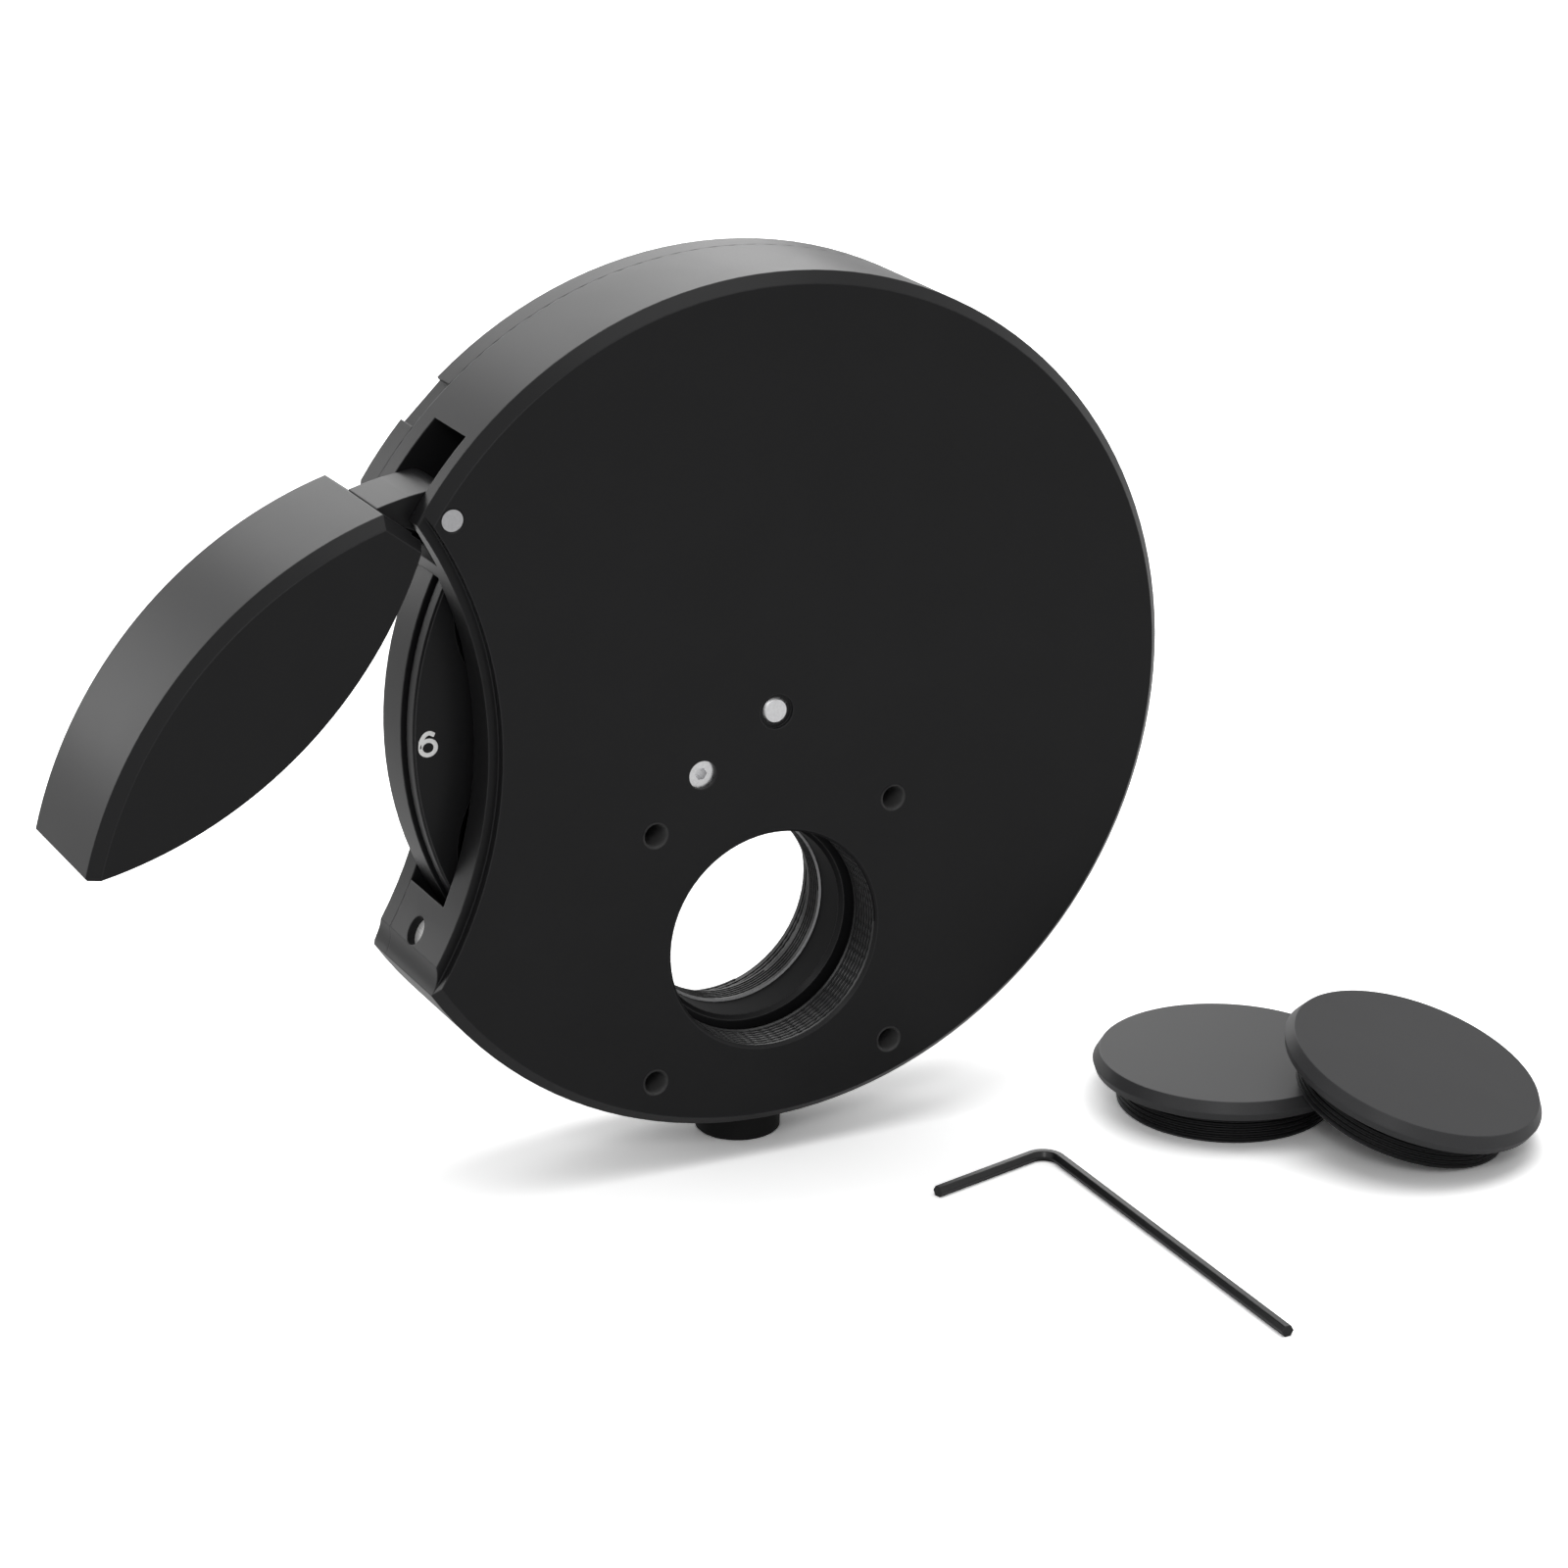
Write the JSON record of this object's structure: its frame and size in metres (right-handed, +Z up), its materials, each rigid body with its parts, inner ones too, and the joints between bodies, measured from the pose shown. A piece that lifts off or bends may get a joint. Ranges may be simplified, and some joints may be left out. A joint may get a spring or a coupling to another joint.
{
  "type": "optical filter wheel",
  "caption": "Round manual filter wheel with a thumb-turned carousel of threaded cells, a hinged light-tight door, a threaded aperture front and back, loose dust caps and a hex key.",
  "frame": {"origin": "centre of the front aperture, on the front face of the housing, which is also the centre of the front accessory holes", "axes": "+X to the right seen from the front, +Y rearwards along the light path, +Z up towards the wheel axis"},
  "size_m": [0.2023, 0.103, 0.1271],
  "materials": {
    "black_anodised_aluminium": "fine matte black anodising over bead-blasted aluminium",
    "carousel_aluminium": "turned and black anodised, rim slightly shinier than the faces",
    "door_aluminium": "fine matte black anodising",
    "cap_aluminium": "satin dark grey anodising",
    "black_oxide_steel": "black oxide, semi-gloss",
    "bright_steel": "ground bright steel",
    "nickel": "nickel plated",
    "bronze": "sintered bronze",
    "white_nylon": "smooth natural nylon",
    "foot_rubber": "matte black rubber"
  },
  "bodies": {
    "housing": {"front_housing": "black_anodised_aluminium", "rear_cover": "black_anodised_aluminium", "cover_screws": "black_oxide_steel", "axle": "bright_steel", "axle_screw": "black_oxide_steel", "thrust_washer": "white_nylon", "wave_washer": "bright_steel", "detent_body": "black_oxide_steel", "detent_spring": "bright_steel", "hinge_pin": "bright_steel", "hinge_washer": "white_nylon", "latch_magnet": "nickel", "foot": "foot_rubber", "foot_screw": "black_oxide_steel"},
    "carousel": {"carousel": "carousel_aluminium", "front_bush": "bronze", "rear_bush": "bronze"},
    "detent_ball": {"detent_ball": "bright_steel"},
    "door": {"door": "door_aluminium", "door_keeper": "bright_steel"},
    "flat_cap": {"dust_cap_flat": "cap_aluminium"},
    "leaning_cap": {"dust_cap_leaning": "cap_aluminium"},
    "hex_key": {"hex_key": "black_oxide_steel"}
  },
  "joints": [
    {"name": "carousel_turn", "type": "hinge", "parent": "housing", "child": "carousel", "pos_m": [0, 0.013, 0.0335], "axis": [0, 1, 0], "continuous": true},
    {"name": "door_swing", "type": "hinge", "parent": "housing", "child": "door", "pos_m": [-0.04735, 0.0115, 0.06641], "axis": [0, 1, 0], "range_deg": [-47, 90]},
    {"name": "detent_press", "type": "slide", "parent": "housing", "child": "detent_ball", "axis": [0, 1, 0], "range_m": [-0.0005, 0], "stiffness_N_per_m": 100, "springref_m": 0.0006, "deforming": ["detent_spring"]},
    {"name": "flat_cap_lift", "type": "slide", "parent": "housing", "child": "flat_cap", "axis": [0, 0, 1], "range_m": [0, 0.03]},
    {"name": "leaning_cap_lift", "type": "slide", "parent": "flat_cap", "child": "leaning_cap", "axis": [0, 0, 1], "range_m": [0, 0.03]},
    {"name": "key_lift", "type": "slide", "parent": "housing", "child": "hex_key", "axis": [0, 0, 1], "range_m": [0, 0.03]}
  ]
}
